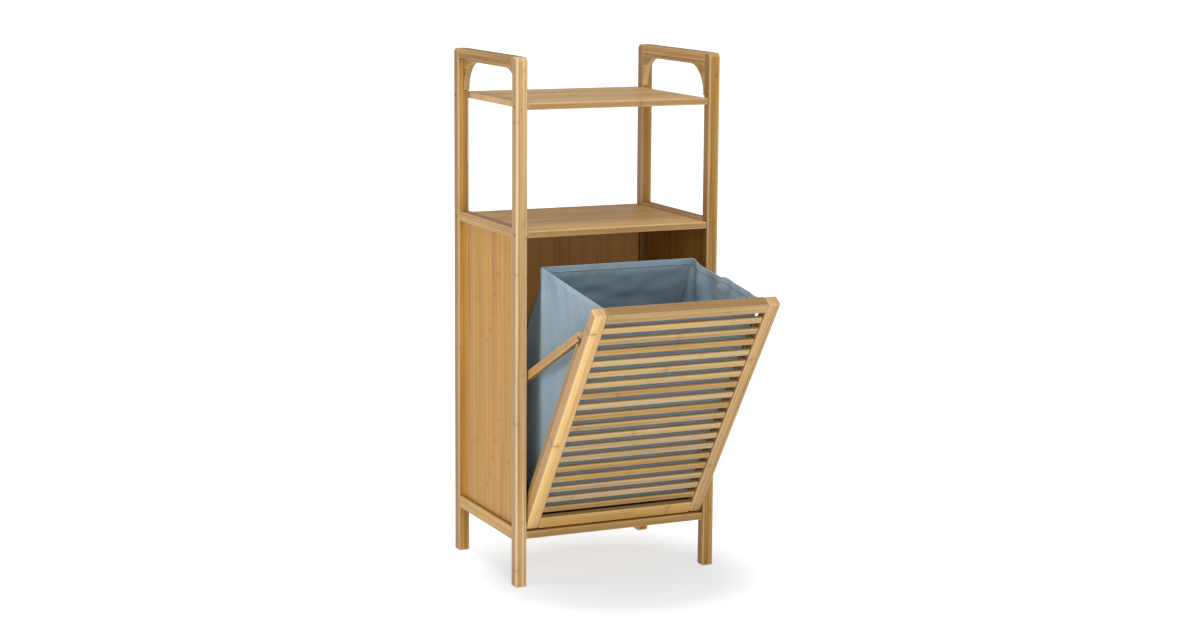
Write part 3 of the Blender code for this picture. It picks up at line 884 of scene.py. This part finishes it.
def hang_cloth(item, pinned):
    """Lets the cloth hang from its rim for HANG_FRAMES frames, with a little slack to crease in."""
    rim = item.vertex_groups.new(name="rim")
    rim.add(pinned, 1.0, "REPLACE")
    cloth = item.modifiers.new("Cloth", "CLOTH")
    settings = cloth.settings
    settings.quality = 7
    settings.mass = 0.25
    settings.tension_stiffness = 35
    settings.compression_stiffness = 25
    settings.shear_stiffness = 12
    settings.bending_stiffness = 0.6
    settings.air_damping = 3
    settings.vertex_group_mass = "rim"
    settings.shrink_min = -CLOTH_SLACK
    cloth.collision_settings.use_collision = False
    cloth.collision_settings.use_self_collision = False
    scene = bpy.context.scene
    scene.frame_start, scene.frame_end = 1, HANG_FRAMES
    cloth.point_cache.frame_start, cloth.point_cache.frame_end = 1, HANG_FRAMES
    for step in range(1, HANG_FRAMES + 1):
        scene.frame_set(step)
    graph = bpy.context.evaluated_depsgraph_get()
    settled = item.evaluated_get(graph).to_mesh()
    places = np.array([v.co for v in settled.vertices])
    item.modifiers.clear()
    scene.frame_set(1)
    return places


def rest_in_frame(places, rest, low, high):
    """Keeps each point near where it began, off the slats in front and between the battens."""
    moved = places - rest
    far = np.linalg.norm(moved, axis=1, keepdims=True)
    limited = rest + moved * np.minimum(1, SAG_LIMIT / np.maximum(far, 1e-9))
    limited[:, 1] = np.maximum(limited[:, 1], low.y)
    at_side = np.abs(rest[:, 0]) > high.x - CORNER_REACH
    corner = at_side & (rest[:, 1] < low.y + CORNER_REACH) & (rest[:, 2] < RIM_CORNER)
    limited[corner] = rest[corner] + (limited[corner] - rest[corner]) * CORNER_GIVE
    beside_batten = limited[:, 1] < low.y + BATTEN_DEPTH
    widest = np.where(beside_batten, high.x, high.x + SIDE_BULGE)
    limited[:, 0] = np.clip(limited[:, 0], -widest, widest)
    return limited


def make_bag():
    """The bag as one sheet of cloth that has hung, then its thickness, hem, seams and stitches."""
    low, high = corners("laundry_bag", DOOR)
    inset = CLOTH / 2 + HEM_LIFT
    low = low + Vector((inset, inset, inset))
    high = high - Vector((inset, inset, inset))
    points, faces, weave, around, rows = bag_grid(low, high, BACK_RIM - inset)
    rest = np.array(points)
    start = rest + np.array([first_ripple(Vector(p), low, high) for p in points])
    mesh = bpy.data.meshes.new("laundry_bag_cloth")
    mesh.from_pydata([tuple(DOOR @ Vector(p)) for p in start], [], faces)
    item = bpy.data.objects.new("laundry_bag_cloth", mesh)
    bpy.context.scene.collection.objects.link(item)
    world = hang_cloth(item, list(range(around)))
    inverse = np.array(DOOR.inverted())
    hung = world @ inverse[:3, :3].T + inverse[:3, 3]
    places = rest_in_frame(hung, rest, low, high)
    slant_folds(places, high)
    mesh.vertices.foreach_set("co", places.astype(np.float32).ravel())
    store(mesh, "weave", weave)
    mesh.shade_smooth()
    fine = item.modifiers.new("Fine", "SUBSURF")
    fine.levels = fine.render_levels = 1
    fine.boundary_smooth = "PRESERVE_CORNERS"
    creases = mesh.attributes.new("crease_edge", "FLOAT", "EDGE")
    spines = set(corner_columns(low, high).values())
    for edge in mesh.edges:
        one, two = edge.vertices
        on_walls = max(one, two) < around * (rows + 1)
        if on_walls and one % around == two % around and one % around in spines:
            creases.data[edge.index].value = EDGE_CREASE
        if on_walls and min(one, two) >= around * rows:
            creases.data[edge.index].value = EDGE_CREASE
    bake_modifiers(item)
    drape = Drape(item, places, around)
    thick = item.modifiers.new("Thickness", "SOLIDIFY")
    thick.thickness = CLOTH
    thick.offset = 0
    bake_modifiers(item)
    item.data.shade_smooth()
    item.data.transform(DOOR)
    settle(item, FABRIC, "bag_fabric", "door", "laundry_bag")
    make_hem(drape)
    make_stitches(drape)
    for corner, column in corner_columns(low, high).items():
        make_corner_seam(corner, [places[row * around + column] for row in range(rows + 1)])


def make_corner_seam(corner, spine):
    """The sewn edge inside a corner of the bag, folded flat against the front or back wall."""
    across = 1.0 if corner.endswith("left") else -1.0
    inward = 1.0 if corner.startswith("front") else -1.0
    shape = bmesh.new()
    rings, weave = [], []
    for row, point in enumerate(spine[1:], 1):
        wave = 0.0006 * math.sin(row * 1.7) + 0.0004 * math.sin(row * 0.6 + inward)
        near = inward * (CLOTH / 2 + SEAM_GAP)
        far = near + inward * (SEAM_LIFT + wave)
        thick = inward * SEAM_THICK
        section = [(SEAM_ROOT, near), (SEAM_WIDTH, far), (SEAM_WIDTH, far + thick), (SEAM_ROOT, near + thick)]
        rings.append([shape.verts.new((point[0] + across * a, point[1] + b, point[2])) for a, b in section])
        weave += [(a, point[2], 0.0) for a, b in section]
    tube(shape, rings)
    finish_soft("bag_seam_" + corner, shape, weave, HEM_CLOTH, SEAM_ROUND)


class Drape:
    """Finds places on the cloth by how far round the rim and how far down they are."""

    def __init__(self, item, places, around):
        self.rows = [places[i * around:(i + 1) * around] for i in range(RIM_ROWS)]
        self.around = around
        self.middle = self.rows[0].mean(0)
        mesh = item.data
        self.tree = BVHTree.FromPolygons([v.co for v in mesh.vertices], [p.vertices for p in mesh.polygons])

    def guess(self, turn, drop):
        """turn counts columns and drop is in metres."""
        k, share = int(turn) % self.around, turn - int(turn)
        n = (k + 1) % self.around
        spine = [row[k] * (1 - share) + row[n] * share for row in self.rows]
        for one, two in zip(spine, spine[1:]):
            step = np.linalg.norm(two - one)
            if drop <= step:
                return one + (two - one) * drop / step
            drop -= step
        return spine[-1]

    def on(self, turn, drop):
        """The place on the cloth and its outward direction."""
        place, normal, _, _ = self.tree.find_nearest(Vector(self.guess(turn, drop)))
        outward = Vector(place) - Vector(self.middle)
        outward.z = 0
        return place, normal if normal.dot(outward) > 0 else -normal

    def seat(self, turn, drop):
        """As on(), with the direction shared between both sides of a corner."""
        place, _ = self.on(turn, drop)
        before = self.on((turn - 0.3) % self.around, drop)[1]
        after = self.on(turn + 0.3, drop)[1]
        shared = (before + after).normalized()
        return place, shared / max(0.7, shared.dot(before))


def make_hem(drape):
    """The folded band over the rim."""
    side = CLOTH / 2 + HEM_LIFT
    section = [(HEM, CLOTH / 2), (HEM, side), (HEM * 0.75, side), (HEM * 0.5, side), (HEM * 0.25, side),
               (HEM_TOP, side)]
    over = [(math.cos(a) * side, math.sin(a) * side) for a in (math.pi / 4, math.pi / 2, math.pi * 3 / 4)]
    back = [(d, -o) for d, o in reversed(section)]
    shape = bmesh.new()
    rings, weave = [], []
    for step in range(2 * drape.around):
        turn = step / 2
        ring = []
        for d, o in section:
            place, out = drape.seat(turn, d)
            ring.append(shape.verts.new(place + out * o))
        top, out = drape.seat(turn, 0)
        lift = (top - drape.seat(turn, HEM * 0.5)[0]).normalized()
        for o, up in over:
            ring.append(shape.verts.new(top + out * o + lift * up))
        for d, o in back:
            place, out = drape.seat(turn, d)
            ring.append(shape.verts.new(place + out * o))
        rings.append(ring)
        weave += [(turn * CLOTH_CELL, k * 0.002, 0) for k in range(len(ring))]
    for one, two in zip(rings, rings[1:] + rings[:1]):
        for a in range(len(one) - 1):
            shape.faces.new((one[a], one[a + 1], two[a + 1], two[a]))
    finish_soft("bag_hem", shape, weave, HEM_CLOTH)


def make_stitches(drape):
    """A row of stitches on each side of the hem."""
    side = CLOTH / 2 + HEM_LIFT
    corners_at = [drape.on(k, 0)[0] for k in range(drape.around)]
    shape = bmesh.new()
    for k in range(drape.around):
        length = (corners_at[(k + 1) % drape.around] - corners_at[k]).length
        count = max(1, round(length / STITCH_PITCH))
        for i in range(count):
            turn = k + (i + 0.5) / count
            place, out = drape.on(turn, STITCH_ROW)
            ahead, _ = drape.on(turn + 0.1, STITCH_ROW)
            heading = (ahead - place).normalized()
            for facing in (1, -1):
                away = out * facing
                at = place + away * (side + STITCH_RADIUS * 0.3)
                add_stitch(shape, at, heading, away.cross(heading), away)
    weave = [(0.0, 0.0, 0.0)] * len(shape.verts)
    finish_soft("bag_stitches", shape, weave, THREAD)


def finish_soft(name, shape, weave, material, rounding=0.0):
    """Makes a piece of the bag that stands for no CAD node of its own."""
    item = to_object(name, shape)
    store(item.data, "weave", weave)
    if rounding:
        round_off = item.modifiers.new("Round", "BEVEL")
        round_off.width = rounding
        round_off.segments = 2
        bake_modifiers(item)
    item.data.shade_smooth()
    item.data.transform(DOOR)
    item.data.materials.append(material)
    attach(item, "door")


def add_stitch(shape, at, heading, side, out):
    """A short thread that dips into the cloth at both ends."""
    rings = []
    for along, lift, size in ((-0.5, -1.2, 0.5), (-0.3, 0.5, 1.0), (0.3, 0.5, 1.0), (0.5, -1.2, 0.5)):
        middle = at + heading * along * STITCH_LENGTH + out * lift * STITCH_RADIUS
        ring = []
        for k in range(6):
            a = k * math.pi / 3
            r = STITCH_RADIUS * size
            ring.append(shape.verts.new(middle + side * r * math.cos(a) + out * r * math.sin(a)))
        rings.append(ring)
    tube(shape, rings)


# Setting

def make_floor():
    shape = bmesh.new()
    bmesh.ops.create_grid(shape, x_segments=8, y_segments=8, size=FLOOR_REACH)
    floor = to_object("studio_floor", shape)
    s = Shader("studio_floor")
    s.surface.inputs["Base Color"].default_value = FLOOR_COLOR
    s.surface.inputs["Roughness"].default_value = 0.9
    s.surface.inputs["Specular IOR Level"].default_value = 0.1
    place = s.node("ShaderNodeTexCoord").outputs["Object"]
    away = s.node("ShaderNodeVectorMath", {0: place}, operation="LENGTH").outputs["Value"]
    # Painted light: the glow is weaker and cooler near the middle, a painted grey patch under the cabinet.
    outward = s.spread(away, GLOW_GROWS_FROM, GLOW_GROWS_TO)
    s.feed(s.surface.inputs["Emission Color"], s.mix(outward, FLOOR_GLOW_COLOR, (1.0, 1.0, 1.0)))
    glow = s.spread(outward, 0.0, 1.0, FLOOR_GLOW_NEAR, FLOOR_GLOW_FAR)
    s.feed(s.surface.inputs["Emission Strength"], glow)
    floor.data.materials.append(s.material)


def add_light(name, place, target, size, power):
    data = bpy.data.lights.new(name, "AREA")
    data.shape = "DISK"
    data.size = size
    data.energy = power
    light = bpy.data.objects.new(name, data)
    light.location = place
    light.rotation_euler = (Vector(target) - Vector(place)).to_track_quat("-Z", "Y").to_euler()
    bpy.context.scene.collection.objects.link(light)


def make_lights():
    world = bpy.data.worlds.new("studio_air")
    world.use_nodes = True
    world.node_tree.nodes["Background"].inputs["Color"].default_value = (1, 1, 1, 1)
    world.node_tree.nodes["Background"].inputs["Strength"].default_value = WORLD_STRENGTH
    bpy.context.scene.world = world
    middle = (0.0, 0.0, 0.45)
    add_light("key", (-4.0, 0.02, 1.0), middle, 1.0, KEY_POWER)
    add_light("high_fill", (-1.0, -4.2, 2.6), middle, 1.6, HIGH_FILL_POWER)
    add_light("low_fill", (-1.0, -4.4, 1.25), middle, 1.6, LOW_FILL_POWER)
    add_light("top", (-0.5, -1.0, 4.6), middle, 2.4, TOP_POWER)


def make_camera():
    ahead = Vector((math.sin(CAMERA_YAW) * math.cos(CAMERA_DOWN),
                    math.cos(CAMERA_YAW) * math.cos(CAMERA_DOWN),
                    -math.sin(CAMERA_DOWN)))
    level = Vector((math.cos(CAMERA_YAW), -math.sin(CAMERA_YAW), 0))
    upright = level.cross(ahead)
    c, s = math.cos(CAMERA_ROLL), math.sin(CAMERA_ROLL)
    right = c * level + s * upright
    up = c * upright - s * level
    data = bpy.data.cameras.new("camera")
    data.lens = CAMERA_LENS
    data.sensor_width = SENSOR_WIDTH
    camera = bpy.data.objects.new("camera", data)
    bpy.context.scene.collection.objects.link(camera)
    camera.matrix_world = Matrix.Translation(CAMERA_PLACE) @ Matrix((right, up, -ahead)).transposed().to_4x4()
    bpy.context.scene.camera = camera


BAMBOO = bamboo_material()
STEEL = steel_material()
FABRIC = cloth_material("woven_bag_cloth", (0.150, 0.228, 0.284), (0.284, 0.380, 0.448))
# The hem's cloth is a lighter copy of the bag cloth, a painted highlight along the rim.
HEM_CLOTH = cloth_material("woven_hem_cloth", (0.168, 0.246, 0.302), (0.306, 0.402, 0.470))
THREAD = cloth_material("bag_thread", (0.40, 0.48, 0.52), (0.55, 0.62, 0.66), 0.0002)

make_camera()
make_lights()
make_floor()
make_cabinet_wood()
make_door_wood()
make_steel()
make_bag()
bpy.context.scene.view_settings.view_transform = "Standard"
